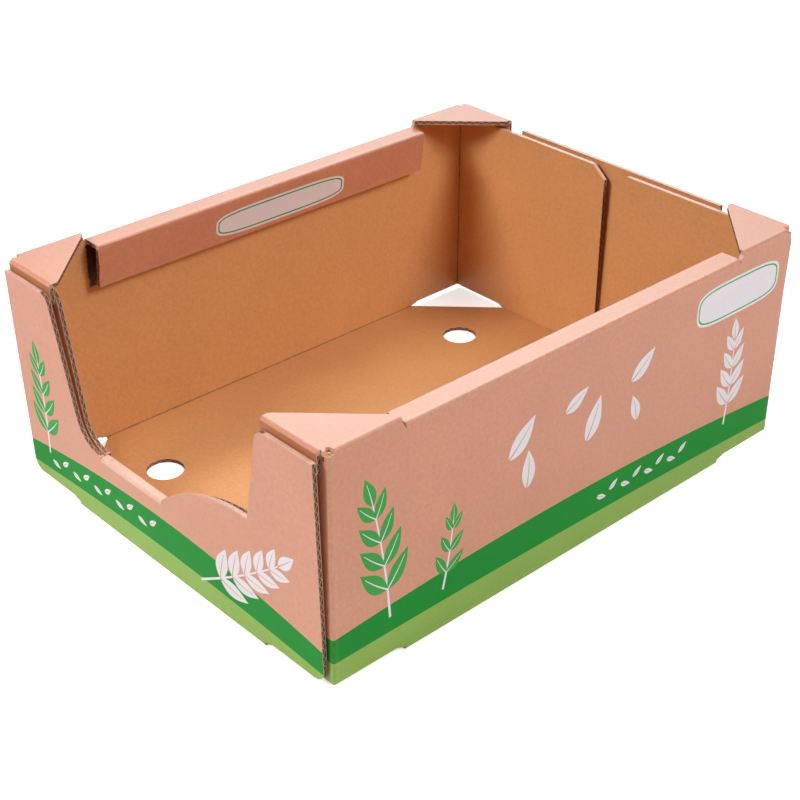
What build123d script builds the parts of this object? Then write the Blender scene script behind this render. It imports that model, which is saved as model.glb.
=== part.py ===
from build123d import *
from math import atan2, cos, degrees, radians, sin, tan
import os

# Stacking display tray, folded from one die-cut blank of corrugated board.
# Millimetres. +Z is up, the low front faces -Y, the origin is under the middle of the floor.

# Overall size
tray_length = 400.0  # outside, across the tops of the two end panels
tray_width = 300.0  # outside, across the two long walls
rim_height = 150.0  # floor to the top of the rims, which is the stacking pitch

# Board
board = 3.0  # thickness
fold_round = 1.6  # outside radius of a creased fold
ply_gap = 0.3  # clearance between boards that lie together

# Bottom: folds, corner openings and vents
side_corner = 60.0  # from the outside of an end panel to the floor fold of a long wall
end_corner = 56.0  # from the outside of a long wall to the floor fold of an end panel
foot_notch = 5.0  # how far the walls are cut up beside those folds
notch_run = 6.0  # how far the cut runs along the wall while it rises
notch_round = 4.0  # radius at the top of that cut
vent_diameter = 25.0
vent_side_offset = 62.0  # vent centre from the outside of the long wall
vent_end_offset = 65.0  # vent centre from the outside of the end panel

# Rims along the long walls
rim_setback = 60.0  # from the outside of an end panel to the end of a rim
rim_width = 16.0
rim_strip = 30.0  # height of the strip that hangs from the rim's inner edge
rim_strip_lean = 6.0  # degrees that the strip leans back towards its wall

# Corner caps, folded in from the raised ends of the long walls
cap_rise = 5.0  # above the rims
cap_wall_gap = 3.0  # between the end of the rim and the cap
cap_square_end = 8.0  # straight end of the cap beside its wall
cap_reach = 50.0  # along the end panel
cap_tip_round = 5.0
tab_depth = 18.0  # tab that plugs down behind the end panel, from the cap's top
tab_corner_gap = 5.0  # between the tab and the outside of the long wall
tab_round = 6.0
relief_radius = 1.8  # hole where the cap's two folds meet

# Corner flaps, turned in from the ends of the long walls
flap_drop = 2.0  # below the rim
flap_slit = 8.5  # between the two back flaps
flap_chamfer_run = 11.0
flap_chamfer_fall = 9.0

# End panels
panel_drop = 1.0  # below the rim
panel_end_gap = 4.5  # between the end of the panel and the outside of the long wall
panel_foot_round = 8.0
back_raise = 5.0  # step in the back panel's top beside the caps
back_raise_gap = 6.0  # between that step and the tip of the cap

# Opening in the front panel
post_width = 50.0  # of a front post at its top, from the outside of the long wall
post_lean = 12.0  # degrees that the inner edge of a post leans
post_round = 8.0
low_edge = 53.0  # height of the rolled lower edge
hem_lip = 30.0  # height of the lip behind the rolled edge
hem_gap = 0.5  # between the lip and the flap beside it
left_round = 21.0  # where the left post runs into the rolled edge
left_run = 1.5  # flat between that round and the rolled edge
wave_height = 85.0  # where the wave beside the rolled edge meets the right post
wave_run = 84.5  # from the rolled edge to the right post

half_width = tray_width / 2
cap_height = rim_height + cap_rise
panel_top = rim_height - panel_drop
flap_top = rim_height - flap_drop
tab_bottom = cap_height - tab_depth
floor_top = board
long_fold = tray_length - 2 * side_corner
end_fold = tray_width - 2 * end_corner
rim_length = tray_length - 2 * rim_setback

# The posts narrow the opening downwards, and the rolled edge fills what the round and the wave leave.
post_run = tan(radians(post_lean))
mouth = half_width - post_width
left_foot = (panel_top - low_edge) * post_run - mouth
right_foot = mouth - (panel_top - wave_height) * post_run
hem_left = left_foot + left_round / tan(radians(90 + post_lean) / 2) + left_run
hem_right = right_foot - wave_run

# The end panels lean out just enough for the tabs to fit between them and the flaps.
end_lean = degrees(atan2(board + ply_gap, tab_bottom - floor_top))
end_foot = tray_length / 2 - (panel_top - floor_top) * tan(radians(end_lean))
flap_face = end_foot - board - ply_gap
tab_face = flap_face + ply_gap + board
wall_end = flap_face - board

right = Vector(1, 0, 0)
back = Vector(0, 1, 0)
up = Vector(0, 0, 1)


def fold(middle, first, second, length):
    # Board turned through the angle between two outward normals, with its outside corner rounded.
    turn = radians(first.get_angle(second))
    tip = board / cos(turn / 2)
    section = make_face(
        Polyline(
            (0, 0),
            (board, 0),
            (tip * cos(turn / 2), tip * sin(turn / 2)),
            (board * cos(turn), board * sin(turn)),
            close=True,
        )
    )
    outside = section.vertices().sort_by_distance((0, 0, 0))[-1]
    section = fillet(outside, fold_round)
    place = Plane(middle, x_dir=first, z_dir=first.cross(second))
    return place * extrude(section, length / 2, both=True)


def end_sheet(outline, inner_face):
    # Board that stands across the tray: outline in X and Z, inner face at the given Y, towards +Y.
    return Plane((0, inner_face + board, 0), x_dir=right, z_dir=-back) * extrude(outline, board)


def notch(fold_length, reach):
    # Cut under one wall end: it starts at the fold's end and rises to the notch height.
    start = fold_length / 2
    outline = make_face(
        Polyline(
            (start, -board),
            (start, 0),
            (start + notch_run, foot_notch),
            (reach, foot_notch),
            (reach, -board),
            close=True,
        )
    )
    rise = outline.vertices().sort_by_distance((start + notch_run, foot_notch, 0))[0]
    return fillet(rise, notch_round)


def make_floor():
    side = half_width - board
    end = end_foot - board
    corners = [
        (side, long_fold / 2),
        (end_fold / 2, end),
        (-end_fold / 2, end),
        (-side, long_fold / 2),
        (-side, -long_fold / 2),
        (-end_fold / 2, -end),
        (end_fold / 2, -end),
        (side, -long_fold / 2),
    ]
    panel = make_face(Polyline(*corners, close=True))
    vents = GridLocations(tray_width - 2 * vent_side_offset, tray_length - 2 * vent_end_offset, 2, 2)
    panel -= vents * Circle(vent_diameter / 2)
    return extrude(panel, board)


def make_long_wall():
    # Flat wall, raised at both ends for the caps, with its floor fold and the cuts under its corners.
    rim_end = rim_length / 2
    cap_end = rim_end + cap_wall_gap
    low = rim_height - board
    high = cap_height - board
    half = [(rim_end, low), (cap_end, high), (wall_end, high), (wall_end, floor_top)]
    mirrored = [(-along, height) for along, height in reversed(half)]
    face = Plane((half_width - board, 0, 0), x_dir=back, z_dir=right)
    wall = face * extrude(make_face(Polyline(*half, *mirrored, close=True)), board)
    crease = Vector(half_width - board, 0, floor_top)
    wall += fold(crease, -up, right, long_fold + 2 * notch_run)
    cut = face * extrude(notch(long_fold, tray_length / 2), 2 * board, both=True)
    return wall - cut - mirror(cut, Plane.XZ)


def make_rim():
    # Ledge folded in from the wall's top and the strip that hangs from it, leaning back to the wall.
    inner = half_width - rim_width
    outer_crease = Vector(half_width - board, 0, rim_height - board)
    inner_crease = Vector(inner + board, 0, rim_height - board)
    strip_normal = (-right).rotate(Axis.Y, -rim_strip_lean)
    ledge = Pos(inner_crease.X, -rim_length / 2, inner_crease.Z) * Box(
        outer_crease.X - inner_crease.X, rim_length, board, align=Align.MIN
    )
    strip = Box(board, rim_length, rim_strip - board, align=(Align.MAX, Align.CENTER, Align.MAX))
    rim = ledge + Pos(inner_crease) * Rot(0, -rim_strip_lean, 0) * strip
    rim += fold(outer_crease, right, up, rim_length)
    rim += fold(inner_crease, up, strip_normal, rim_length)
    return rim


def make_cap():
    # Cap over the back right corner: cut across the corner, with a tab folded down on its end side.
    side = half_width - board
    cap_end = rim_length / 2 + cap_wall_gap
    tab_crease = tab_face - board
    tip = half_width - cap_reach
    tab_start = half_width - tab_corner_gap
    under = cap_height - board
    outline = make_face(
        Polyline(
            (side, cap_end),
            (half_width - cap_square_end, cap_end),
            (tip, tab_crease - board),
            (tip, tab_crease),
            (side, tab_crease),
            close=True,
        )
    )
    tip_corner = outline.vertices().sort_by_distance((tip, tab_crease - board, 0))[0]
    outline = fillet(tip_corner, cap_tip_round)
    cap = Pos(0, 0, under) * extrude(outline, board)
    cap += fold(Vector(side, (cap_end + wall_end) / 2, under), right, up, wall_end - cap_end)
    cap += fold(Vector((tip + tab_start) / 2, tab_crease, under), back, up, tab_start - tip)
    tab = make_face(
        Polyline((tip, under), (tip, tab_bottom), (tab_start, tab_bottom), (tab_start, under), close=True)
    )
    tab = fillet(tab.vertices().group_by(Axis.Y)[0], tab_round)
    cap += end_sheet(tab, tab_crease)
    relief = Pos(side, wall_end, under) * Cylinder(relief_radius, 3 * board)
    return cap - relief


def make_corner_fold():
    # Upright fold between a long wall and its flap, from the foot cut to just under the cap.
    height = cap_height - board - ply_gap - foot_notch
    crease = Vector(half_width - board, wall_end, foot_notch + height / 2)
    return fold(crease, right, back, height)


def make_back_flap():
    side = half_width - board
    slit = flap_slit / 2
    outline = make_face(
        Polyline(
            (side, floor_top + ply_gap),
            (slit, floor_top + ply_gap),
            (slit, flap_top - flap_chamfer_fall),
            (slit + flap_chamfer_run, flap_top),
            (side, flap_top),
            close=True,
        )
    )
    return end_sheet(outline - notch(end_fold, half_width), wall_end)


def end_outline(top):
    # End panel above its floor fold, with rounded feet beside the notches.
    side = half_width - panel_end_gap
    panel = make_face(
        Polyline((-side, floor_top), (side, floor_top), (side, top), (-side, top), close=True)
    )
    cut = notch(end_fold, half_width)
    panel = panel - cut - mirror(cut, Plane.YZ)
    feet = [corner for corner in panel.vertices() if abs(abs(corner.X) - side) < ply_gap and corner.Y < top]
    return fillet(feet, panel_foot_round)


def lean_end(upright):
    # Stand an end panel on its floor fold and lean it out.
    crease = Vector(0, end_foot - board, floor_top)
    normal = back.rotate(Axis.X, -end_lean)
    foot = fold(crease, -up, normal, end_fold)
    return upright.rotate(Axis(crease, right), -end_lean) + foot


def make_back_panel():
    outline = end_outline(panel_top)
    shoulder = half_width - cap_reach - back_raise_gap
    step = Rectangle(2 * (half_width - shoulder), 2 * back_raise)
    outline -= Pos(half_width, panel_top) * step
    outline -= Pos(-half_width, panel_top) * step
    return lean_end(end_sheet(outline, end_foot - board))


def front_opening():
    # Opening between the posts: a rolled low edge on the left, and a wave that rises to the right post.
    mouth_above = mouth + (cap_height - panel_top) * post_run
    wave_fall = wave_height - low_edge
    wave_radius = (wave_run**2 + wave_fall**2) / (2 * wave_fall)
    wave_turn = degrees(atan2(wave_run, wave_radius - wave_fall))
    wave = CenterArc((right_foot, wave_height - wave_radius), wave_radius, 90, wave_turn)
    edge = Polyline(
        wave @ 1,
        (hem_right, low_edge - board),
        (hem_left, low_edge - board),
        (hem_left, low_edge),
        (left_foot, low_edge),
        (-mouth_above, cap_height),
        (mouth_above, cap_height),
        wave @ 0,
    )
    opening = make_face([*wave.edges(), *edge.edges()])
    corner = opening.vertices().sort_by_distance((left_foot, low_edge, 0))[0]
    return fillet(corner, left_round)


def round_posts(outline):
    # Round the inner top corners of the two posts.
    inner = [corner for corner in outline.vertices().group_by(Axis.Y)[-1] if abs(corner.X) < mouth + board]
    return fillet(inner, post_round)


def make_front_panel():
    # Modelled at the back and turned round, so its outline is seen from inside: X is reversed.
    outline = round_posts(end_outline(panel_top) - front_opening())
    face = end_foot - board
    panel = end_sheet(mirror(outline, Plane.YZ), face)
    middle = -(hem_left + hem_right) / 2
    length = hem_right - hem_left - 2 * hem_gap
    lip_face = face - ply_gap
    top = low_edge - board
    panel += fold(Vector(middle, face, top), back, up, length)
    roll = Box(length, ply_gap, board, align=(Align.CENTER, Align.MAX, Align.MIN))
    panel += Pos(middle, face, top) * roll
    panel += fold(Vector(middle, lip_face, top), up, -back, length)
    lip = Box(length, board, hem_lip - board, align=(Align.CENTER, Align.MAX, Align.MAX))
    panel += Pos(middle, lip_face, top) * lip
    return lean_end(panel).rotate(Axis.Z, 180)


def make_front_flaps():
    side = half_width - board
    sheet = make_face(
        Polyline(
            (-side, floor_top + ply_gap),
            (side, floor_top + ply_gap),
            (side, flap_top),
            (-side, flap_top),
            close=True,
        )
    )
    cut = notch(end_fold, half_width)
    sheet = sheet - cut - mirror(cut, Plane.YZ) - front_opening()
    low = Pos((hem_left + hem_right) / 2, low_edge / 2) * Rectangle(hem_right - hem_left, 2 * low_edge)
    return end_sheet(round_posts(sheet - low), -flap_face)


def make_tray():
    cap = make_cap()
    corner = make_corner_fold()
    side = make_long_wall() + make_rim() + cap + corner
    side += mirror(cap, Plane.XZ) + mirror(corner, Plane.XZ)
    flap = make_back_flap()
    sheet = make_floor() + side + mirror(side, Plane.YZ)
    sheet += flap + mirror(flap, Plane.YZ) + make_front_flaps()
    sheet += make_back_panel() + make_front_panel()
    return sheet


tray = make_tray()
os.makedirs("parts", exist_ok=True)
export_step(tray.solid(), "parts/tray.step")
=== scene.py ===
import bpy
import numpy as np
import bmesh
from functools import partial
from math import atan2, cos, pi, radians, sin, tan
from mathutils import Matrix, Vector


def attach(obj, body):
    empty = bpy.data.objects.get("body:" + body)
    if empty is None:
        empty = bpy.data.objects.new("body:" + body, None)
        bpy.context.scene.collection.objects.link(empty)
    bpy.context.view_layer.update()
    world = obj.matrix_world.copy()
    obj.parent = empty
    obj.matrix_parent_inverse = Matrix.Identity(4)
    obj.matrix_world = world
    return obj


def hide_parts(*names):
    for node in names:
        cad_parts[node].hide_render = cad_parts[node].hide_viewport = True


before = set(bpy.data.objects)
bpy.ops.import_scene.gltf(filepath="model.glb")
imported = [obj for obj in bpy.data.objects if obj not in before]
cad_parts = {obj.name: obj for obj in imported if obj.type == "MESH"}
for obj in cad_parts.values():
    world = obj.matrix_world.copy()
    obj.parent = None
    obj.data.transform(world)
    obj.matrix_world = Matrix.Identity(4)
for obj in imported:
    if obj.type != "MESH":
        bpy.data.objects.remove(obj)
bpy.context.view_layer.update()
print("frame loaded")

# Sizes of the folded sheet in millimetres, as the solid has them but for three trims that follow the real cut:
# capSquare and backGap are a few millimetres finer, and flapTuck sets the inner wave below the outer one.
sheet = {
    "length": 400.0, "width": 300.0, "rimHeight": 150.0,
    "board": 3.0, "foldRound": 1.6, "plyGap": 0.3,
    "sideCorner": 60.0, "endCorner": 56.0, "notchRise": 5.0, "notchRun": 6.0, "notchRound": 4.0,
    "ventRadius": 12.5, "ventX": 88.0, "ventY": 135.0,
    "rimWidth": 16.0, "stripHeight": 30.0, "stripLean": 6.0,
    "capRise": 5.0, "capGap": 3.0, "capSquare": 4.0, "capReach": 50.0, "capTipRound": 5.0, "relief": 1.8,
    "tabDepth": 18.0, "tabGap": 5.0, "tabRound": 6.0, "tabFoldRound": 2.3,
    "flapDrop": 2.0, "slit": 8.5, "chamferRun": 11.0, "chamferFall": 9.0,
    "panelDrop": 1.0, "panelGap": 4.5, "footRound": 8.0, "backRaise": 5.0, "backGap": 10.0,
    "postWidth": 50.0, "postLean": 12.0, "postRound": 8.0,
    "lowEdge": 53.0, "lip": 30.0, "hemGap": 0.5, "leftRound": 21.0, "leftRun": 1.5,
    "waveHeight": 85.0, "waveRun": 84.5, "flapTuck": 3.4,
}
# The cut edge: a wave of medium between two liners where the flutes are open, a slight hollow where they are pressed.
edgeLook = {
    "flutePitch": 6.0, "liner": 0.40, "medium": 0.46, "recess": 0.6, "mediumBack": 0.15,
    "step": 0.6, "fewest": 2, "pressedStep": 2.5, "pressedFewest": 13,
    "pressedShares": (0.0, 0.12, 0.5, 0.88, 1.0), "pressedBacks": (0.0, 0.04, 0.05, 0.04, 0.0),
    "skin": 0.08, "margin": 1.0, "mostMargin": 0.25, "foldWear": 0.3,
}
# Points along the runs and rounds of the mesh.
meshSteps = {
    "foldArc": 8, "round": 9, "postRound": 12, "wave": 24, "ventRing": 120, "ventSwing": 41,
    "floorMiddle": 31, "floorEdge": 16, "panel": 61, "frontPanel": 91, "flap": 25, "rightFlap": 31,
    "longFold": 57, "endFold": 39, "shade": 73, "hem": 15,
    "cap": 25, "capFold": 13, "bite": 15, "tab": 13, "flapFold": 25,
}
uvUnit = 100.0  # millimetres of sheet in one unit of the UV map
hair = 1e-3  # width given to an upright step, so that every u has one height
speck = 1e-6  # a length that counts as none
inPost, inHalf, inHeight = 120.0, 60.0, 60.0  # well inside the panels, to tell a cut edge where its board is

board = sheet["board"]
halfW = sheet["width"] / 2
rimTop = sheet["rimHeight"]
capTop = rimTop + sheet["capRise"]
panelTop = rimTop - sheet["panelDrop"]
flapTop = rimTop - sheet["flapDrop"]
tabBottom = capTop - sheet["tabDepth"]
lean = atan2(board + sheet["plyGap"], tabBottom - board)
endFoot = sheet["length"] / 2 - (panelTop - board) * tan(lean)
flapFace = endFoot - board - sheet["plyGap"]
wallEnd = flapFace - board
tabCrease = endFoot - board
sideFold = sheet["length"] / 2 - sheet["sideCorner"]
endFold = halfW - sheet["endCorner"]
panelSide = halfW - sheet["panelGap"]
postSlope = tan(radians(sheet["postLean"]))
mouth = halfW - sheet["postWidth"]
leftFoot = (panelTop - sheet["lowEdge"]) * postSlope - mouth
rightFoot = mouth - (panelTop - sheet["waveHeight"]) * postSlope
hemLeft = leftFoot + sheet["leftRound"] / tan(radians(90 + sheet["postLean"]) / 2) + sheet["leftRun"]
hemRight = rightFoot - sheet["waveRun"]

xAxis, yAxis, zAxis = np.eye(3)
matNames = ["outerLiner", "innerLiner", "cutEdge", "fluteHollowShade", "darkBand", "paleBand",
            "whitePrint", "leafPrint", "tabShade", "pressedEdge"]
matIndex = {name: i for i, name in enumerate(matNames)}
parts = {"verts": [], "faces": [], "mats": [], "uvs": [], "wearAndShade": [], "count": 0}


def stacked(*runs):
    # Points from their coordinates, each one number or a run of them.
    return np.stack(np.broadcast_arrays(*runs), -1)


def addGrid(points, mats, uv, flip, wearAndShade=0.0):
    # A grid of points becomes quads; mats is one finish by name, an index for each row of quads, or for each quad.
    rows, cols = points.shape[:2]
    ids = np.arange(rows * cols).reshape(rows, cols) + parts["count"]
    quads = np.stack([ids[:-1, :-1], ids[:-1, 1:], ids[1:, 1:], ids[1:, :-1]], -1)
    mats = np.asarray(matIndex[mats] if isinstance(mats, str) else mats)
    if mats.ndim == 1:
        mats = mats[:, None]
    parts["verts"].append(points.reshape(-1, 3))
    parts["uvs"].append(np.asarray(uv, float).reshape(-1, 2))
    parts["wearAndShade"].append(np.broadcast_to(wearAndShade, (rows, cols)).reshape(-1))
    parts["faces"].append((quads[..., ::-1] if flip else quads).reshape(-1, 4))
    parts["mats"].append(np.broadcast_to(mats, (rows - 1, cols - 1)).reshape(-1))
    parts["count"] += rows * cols


def placer(origin, uAxis, vAxis, normal):
    # A point of a panel is its origin plus u and v along the panel, plus its depth along the outward normal.
    origin, uAxis, vAxis, normal = (np.asarray(a, float) for a in (origin, uAxis, vAxis, normal))

    def place(u, v, d):
        u, v, d = np.broadcast_arrays(u, v, d)
        return origin + u[..., None] * uAxis + v[..., None] * vAxis + d[..., None] * normal

    place.flip = float(np.dot(np.cross(uAxis, vAxis), normal)) < 0
    place.normal, place.rise = normal, vAxis
    return place


def sheetPanel(place, u, low, high, rows=5, bands=(), across="v", wornAndShaded=(1, 1, 1, 1),
               creased=(0, 0, 0, 0), face="outerLiner"):
    # Ruled between a low and a high edge over the same u: v = low + (high - low) * share.
    # Printed bands split the outer face along their own curves, so their edges are part of the mesh.
    # Wear is 1 on the border where the worn flags say so (low, high, left, right) and 0 from a margin inwards;
    # on the inner face the same attribute paints shade into a crease, and creased says where.
    u = np.asarray(u, float)
    most = edgeLook["mostMargin"]
    margin = min(edgeLook["margin"], (u[-1] - u[0]) * most)
    full = np.unique(np.concatenate([u, [u[0] + margin, u[-1] - margin]]))
    edges = (low, high, *[curve for curve, name in bands])
    low, high, *tops = [np.interp(full, u, np.broadcast_to(edge, u.shape)) for edge in edges]

    def layer(a, b, ends, depth, mat, flip):
        # Rows at 0, at even shares between the two margins, and at 1.
        gap = np.maximum(b - a, speck)
        rim = np.minimum(margin / gap, most)
        inner = rim + (1 - 2 * rim) * np.linspace(0, 1, rows)[:, None]
        v = a + gap * np.vstack([np.zeros_like(rim), inner, np.ones_like(rim)])
        wearAndShade = np.zeros(v.shape)
        wearAndShade[:, 0], wearAndShade[:, -1] = ends[2:]
        wearAndShade[0], wearAndShade[-1] = np.maximum(wearAndShade[0], ends[0]), np.maximum(wearAndShade[-1], ends[1])
        uv = stacked(*((v, full) if across == "v" else (full, v))) / uvUnit
        addGrid(place(full, v, depth), mat, uv, flip, wearAndShade)

    layer(low, high, creased, -board, "innerLiner", not place.flip)
    levels = [low] + [np.clip(top, low, high) for top in tops] + [high]
    mats = [name for curve, name in bands] + [face]
    last = len(mats) - 1
    for i, mat in enumerate(mats):
        ends = (wornAndShaded[0] if i == 0 else 0, wornAndShaded[1] if i == last else 0, *wornAndShaded[2:])
        layer(levels[i], levels[i + 1], ends, -edgeLook["skin"], mat, place.flip)


def resample(path, step, fewest):
    # Points at even arc length along a polyline, so a long straight run and a curve get the same spacing.
    path = np.asarray(path, float)
    run = np.concatenate([[0], np.cumsum(np.hypot(*np.diff(path, axis=0).T))])
    keep = np.concatenate([[True], np.diff(run) > speck])
    s = np.linspace(0, run[-1], max(int(run[-1] / step), fewest))
    return np.stack([np.interp(s, run[keep], path[keep, i]) for i in (0, 1)], -1), s


def cutEdge(place, path, inside, fluted=True):
    # The cut side of the board along a path in the panel: liner, hollow, wave of medium, hollow, liner; the hollows
    # are painted darker as shade.
    # The medium's middle is half the board plus a cosine of the arc length over the flute pitch.
    # A pressed edge is one strip, set back by hundredths of a millimetre. The board lies towards inside.
    e = edgeLook
    step, fewest = (e["step"], e["fewest"]) if fluted else (e["pressedStep"], e["pressedFewest"])
    points, s = resample(path, step, fewest)
    along = np.gradient(points, axis=0)
    along /= np.maximum(np.linalg.norm(along, axis=1, keepdims=True), speck)
    inward = stacked(-along[:, 1], along[:, 0])
    mid = len(points) // 2
    if np.dot(inside - points[mid], inward[mid]) < 0:
        inward = -inward
    skin, t = -e["skin"], -board
    flat = np.ones_like(s)
    if fluted:
        half = e["medium"] / 2
        reach = board / 2 - e["liner"] - half
        wave = -board / 2 + reach * np.cos(2 * pi * s / e["flutePitch"])
        outer, inner = -e["liner"] * flat, (t + e["liner"]) * flat
        depths = [skin * flat, outer, outer, wave + half, wave + half,
                  wave - half, wave - half, inner, inner, t * flat]
        deep, shallow = e["recess"], e["mediumBack"]
        backs = [0, 0, deep, deep, shallow, shallow, deep, deep, 0, 0]
        c, h = matIndex["cutEdge"], matIndex["fluteHollowShade"]
        mats = [c, h, h, h, c, h, h, h, c]
    else:
        depths = [(skin + (t - skin) * share) * flat for share in e["pressedShares"]]
        backs = e["pressedBacks"]
        mats = "pressedEdge"
    depth = np.stack(depths)
    back = np.asarray(backs, float)[:, None]
    xyz = place(points[:, 0] + back * inward[:, 0], points[:, 1] + back * inward[:, 1], depth)
    uv = stacked(s, depth) / uvUnit
    # The normal at the middle of the run tells whether the strip looks out of the board.
    rowStep = xyz[-1, mid] - xyz[0, mid]
    colStep = xyz[0, min(mid + 1, len(s) - 1)] - xyz[0, mid - 1]
    outward = xyz[0, mid] - place(*(points[mid] + inward[mid]), depth[0, mid])
    addGrid(xyz, mats, uv, float(np.dot(np.cross(colStep, rowStep), outward)) < 0)


def foldStrip(crease, first, second, mats="outerLiner", share=1.0, radius=sheet["foldRound"], wornAndShaded=1.0):
    # The outside of a fold carried along its crease: flat, an arc of the fold radius, flat.
    # Share cuts the profile short, and its ends are closed by fans from the crease.
    turn = np.arccos(np.clip(np.dot(first, second), -1, 1))
    axis = np.cross(first, second) / sin(turn)
    side = np.cross(axis, first)
    t, r = board - edgeLook["skin"], radius
    angle = np.linspace(0, turn, meshSteps["foldArc"])
    ring = np.cos(angle)[:, None] * first + np.sin(angle)[:, None] * side
    half = cos(turn / 2) * first + sin(turn / 2) * side
    profile = np.vstack([t * first, (t - r) / cos(turn / 2) * half + r * ring, t * second])
    run = np.concatenate([[0], np.cumsum(np.linalg.norm(np.diff(profile, axis=0), axis=1))])
    s = run[:, None] * np.broadcast_to(share, len(crease))
    rows = np.stack([np.interp(s, run, profile[:, i]) for i in range(3)], -1)
    xyz = crease[None] + rows
    lengths = np.concatenate([[0], np.cumsum(np.linalg.norm(np.diff(crease, axis=0), axis=1))])
    uv = stacked(lengths, s) / uvUnit
    flip = np.dot(np.cross(crease[-1] - crease[0], side), first) < 0
    start = edgeLook["foldWear"]
    wearAndShade = wornAndShaded * np.sin(np.linspace(start, pi - start, len(profile)))[:, None]
    addGrid(xyz, mats, uv, flip, wearAndShade)
    for i, turned in ((0, not flip), (-1, flip)):
        fan = np.stack([np.broadcast_to(crease[i], xyz[:, i].shape), xyz[:, i]])
        addGrid(fan, "cutEdge", np.zeros(fan.shape[:2] + (2,)), turned)


def arc(centre, radius, start, end, count):
    # Points on a circle: centre plus radius times cosine and sine, from start to end in degrees.
    a = np.radians(np.linspace(start, end, count))
    return stacked(centre[0] + radius * np.cos(a), centre[1] + radius * np.sin(a))


def rounded(points, radii, count=meshSteps["round"]):
    # A polyline with its inner corners replaced by tangent arcs of the given radii.
    points = np.asarray(points, float)
    out = [points[:1]]
    for before, corner, after, radius in zip(points[:-2], points[1:-1], points[2:], radii):
        a, b = before - corner, after - corner
        a, b = a / np.linalg.norm(a), b / np.linalg.norm(b)
        if radius <= 0:
            out.append(corner[None])
            continue
        half = np.arccos(np.clip(np.dot(a, b), -1, 1)) / 2
        mid = (a + b) / np.linalg.norm(a + b)
        centre = corner + mid * radius / sin(half)
        p, q = corner + a * radius / tan(half) - centre, corner + b * radius / tan(half) - centre
        sweep = np.linspace(0, 1, count)[:, None]
        ring = p * (1 - sweep) + q * sweep
        out.append(centre + ring / np.linalg.norm(ring, axis=1, keepdims=True) * radius)
    out.append(points[-1:])
    return np.vstack(out)


def atU(path, u):
    # Height of a left-to-right path at each u; steps are a hair wide, so every u has one height.
    return np.interp(u, path[:, 0], path[:, 1])


def mergeU(*paths, extra):
    # All the u at which any edge of the panel bends, and the extra ones, sorted.
    return np.unique(np.concatenate([path[:, 0] for path in paths] + [extra]))


def notchPath(start, end):
    # Lower edge beside a fold: it starts at the fold's end and rises to the notch height.
    rise, run = sheet["notchRise"], sheet["notchRun"]
    return rounded([(start, 0), (start + run, rise), (end, rise)], [sheet["notchRound"]])


def mirrored(path):
    # The path's other half: u changes sign and the order turns round.
    return path[::-1] * [-1, 1]


# Printed bands: peak height of the band's top, where the peak is, and how far it falls over which distance.
bandLook = {
    "frontDark": (39.5, 0.0, 12.0, 145.0), "frontPale": (17.0, 0.0, 5.6, 145.0),
    "sideDark": (42.6, -20.0, 9.5, 200.0), "sidePale": (20.0, -110.0, 6.5, 300.0),
}


def bandTop(key, u):
    # Peak height less a parabola of the distance from the peak.
    peak, centre, fall, reach = bandLook[key]
    return peak - fall * ((u - centre) / reach) ** 2


def bandsOn(panel, u):
    # The pale band from the foot up and the dark one above it, each by the height of its top.
    return [(bandTop(panel + "Pale", u), "paleBand"), (bandTop(panel + "Dark", u), "darkBand")]


def flapBands(u, sy):
    # The wall's bands carried level round the corner fold onto the flap.
    return bandsOn("side", sy * wallEnd + 0 * u)


def makeFloor():
    # Five strips side by side between the cut corners; in the strips of the vents the edges follow their circles.
    place = placer((0, 0, 0), xAxis, yAxis, -zAxis)
    side, end = halfW - board, endFoot - board
    r, vx, vy = sheet["ventRadius"], sheet["ventX"], sheet["ventY"]
    outline = np.array([(-side, sideFold), (-endFold, end), (endFold, end), (side, sideFold)])
    swing = vx - r * np.cos(np.linspace(0, pi, meshSteps["ventSwing"]))
    middle = np.linspace(-(vx - r), vx - r, meshSteps["floorMiddle"])
    edge = np.linspace(vx + r, side, meshSteps["floorEdge"])

    def withCorners(u):
        # The run of u, and the outline's corners that fall within it.
        return np.unique(np.concatenate([u, [x for x in (-endFold, endFold) if u[0] < x < u[-1]]]))

    for u, ends in ((-edge[::-1], (1, 0)), (middle, (0, 0)), (edge, (0, 1))):
        u = withCorners(u)
        reach = atU(outline, u)
        border = (1, 1, *ends)
        sheetPanel(place, u, -reach, reach, rows=8, across="u", wornAndShaded=border, creased=border)
    for u, centre in ((swing, vx), (-swing[::-1], -vx)):
        u = withCorners(u)
        bulge = np.sqrt(np.maximum(r * r - (u - centre) ** 2, 0))
        reach = atU(outline, u)
        for low, high in ((-reach, -vy - bulge), (-vy + bulge, vy - bulge), (vy + bulge, reach)):
            sheetPanel(place, u, low, high, across="u", wornAndShaded=(1, 1, 0, 0))
    for sx in (-1, 1):
        for sy in (-1, 1):
            cutEdge(place, [(sx * side, sy * sideFold), (sx * endFold, sy * end)], inside=(0, 0))
            hole = arc((sx * vx, sy * vy), r, 0, 360, meshSteps["ventRing"])
            cutEdge(place, hole, inside=(sx * vx - 2 * r, sy * vy))


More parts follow.
